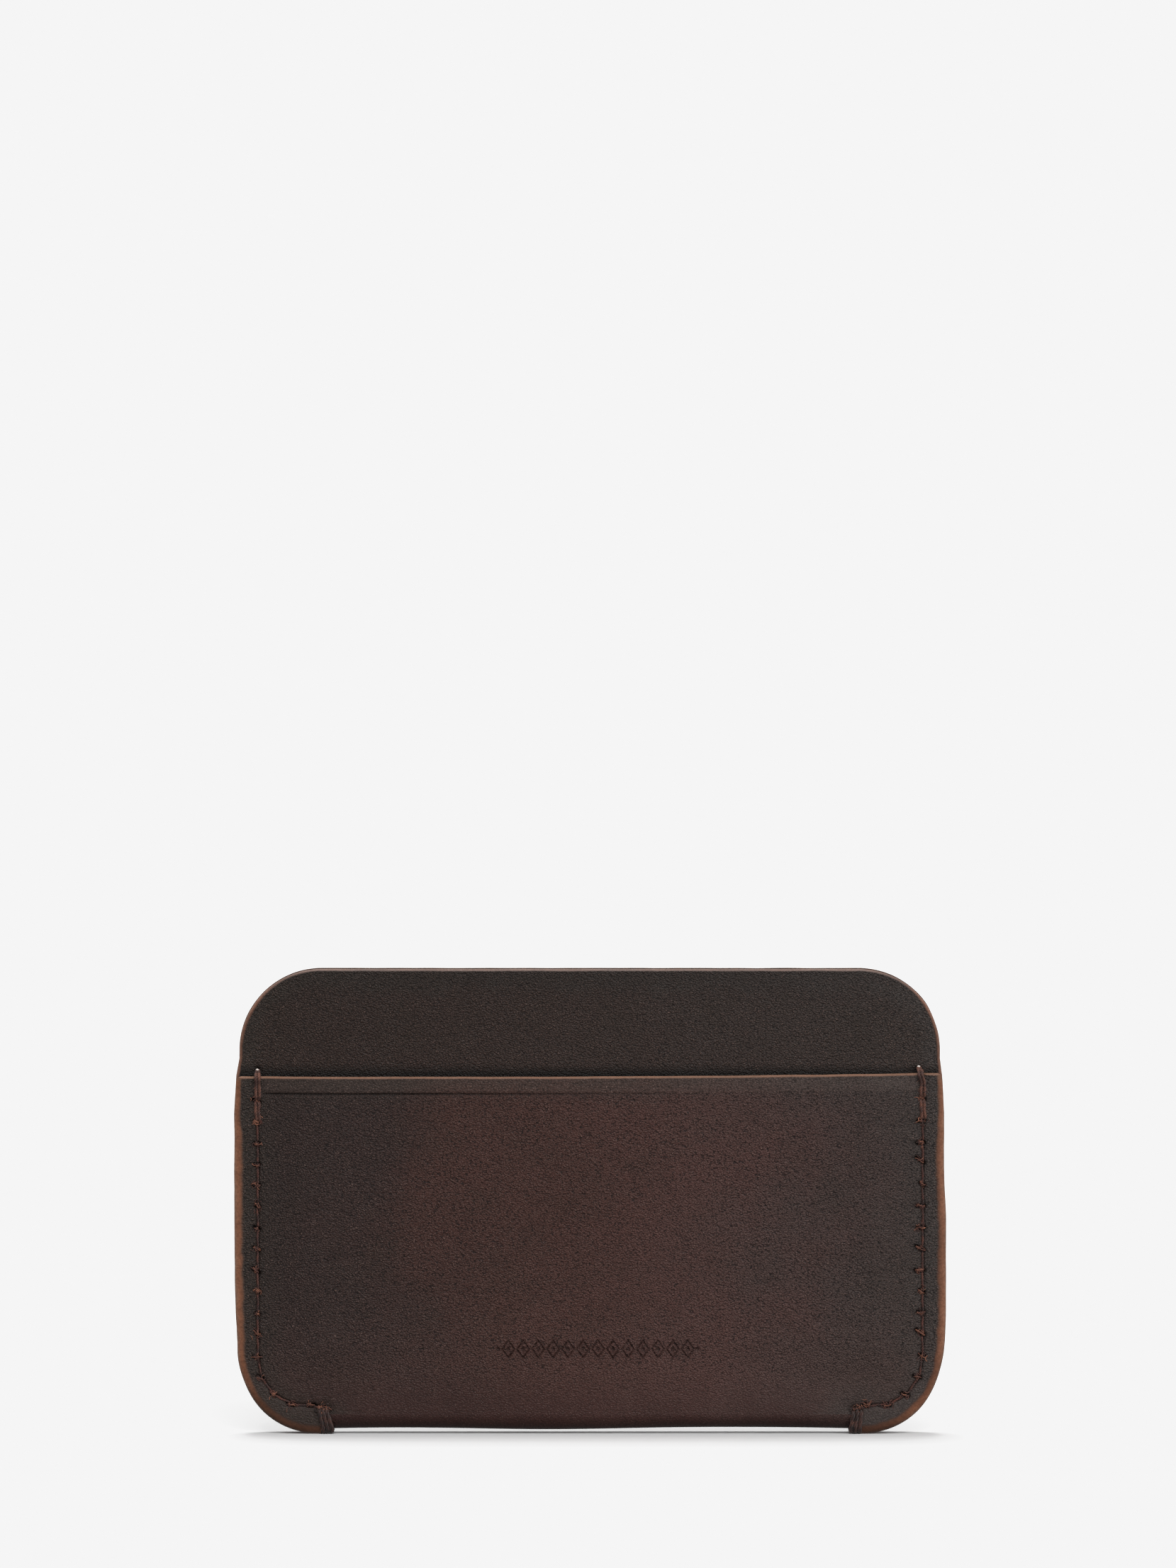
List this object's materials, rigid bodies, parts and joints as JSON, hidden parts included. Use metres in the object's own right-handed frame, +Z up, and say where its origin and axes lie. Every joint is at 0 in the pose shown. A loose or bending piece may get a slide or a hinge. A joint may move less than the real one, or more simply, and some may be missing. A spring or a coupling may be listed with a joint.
{
  "type": "business card case",
  "caption": "Slim dark brown leather business card case with front and back card slots, a centre pocket and a folded bottom, sewn down both sides.",
  "frame": {"origin": "middle of the bounding box's bottom, under the folded edge that the case stands on", "axes": "+X along the width, to the right seen from the front; +Y from the front wall to the back wall; +Z up to the open top edge"},
  "size_m": [0.1, 0.006, 0.0654],
  "materials": {
    "wrap_leather": "burnished pebble grain, low sheen, tan cut edges",
    "divider_leather": "burnished pebble grain, low sheen, tan cut edges",
    "seam_thread": "waxed twisted thread"
  },
  "bodies": {
    "root": {"outer_wrap": "wrap_leather", "front_divider": "divider_leather", "back_divider": "divider_leather", "left_needle_thread": "seam_thread", "left_bobbin_thread": "seam_thread", "left_bar_tack": "seam_thread", "right_needle_thread": "seam_thread", "right_bobbin_thread": "seam_thread", "right_bar_tack": "seam_thread"}
  },
  "joints": []
}
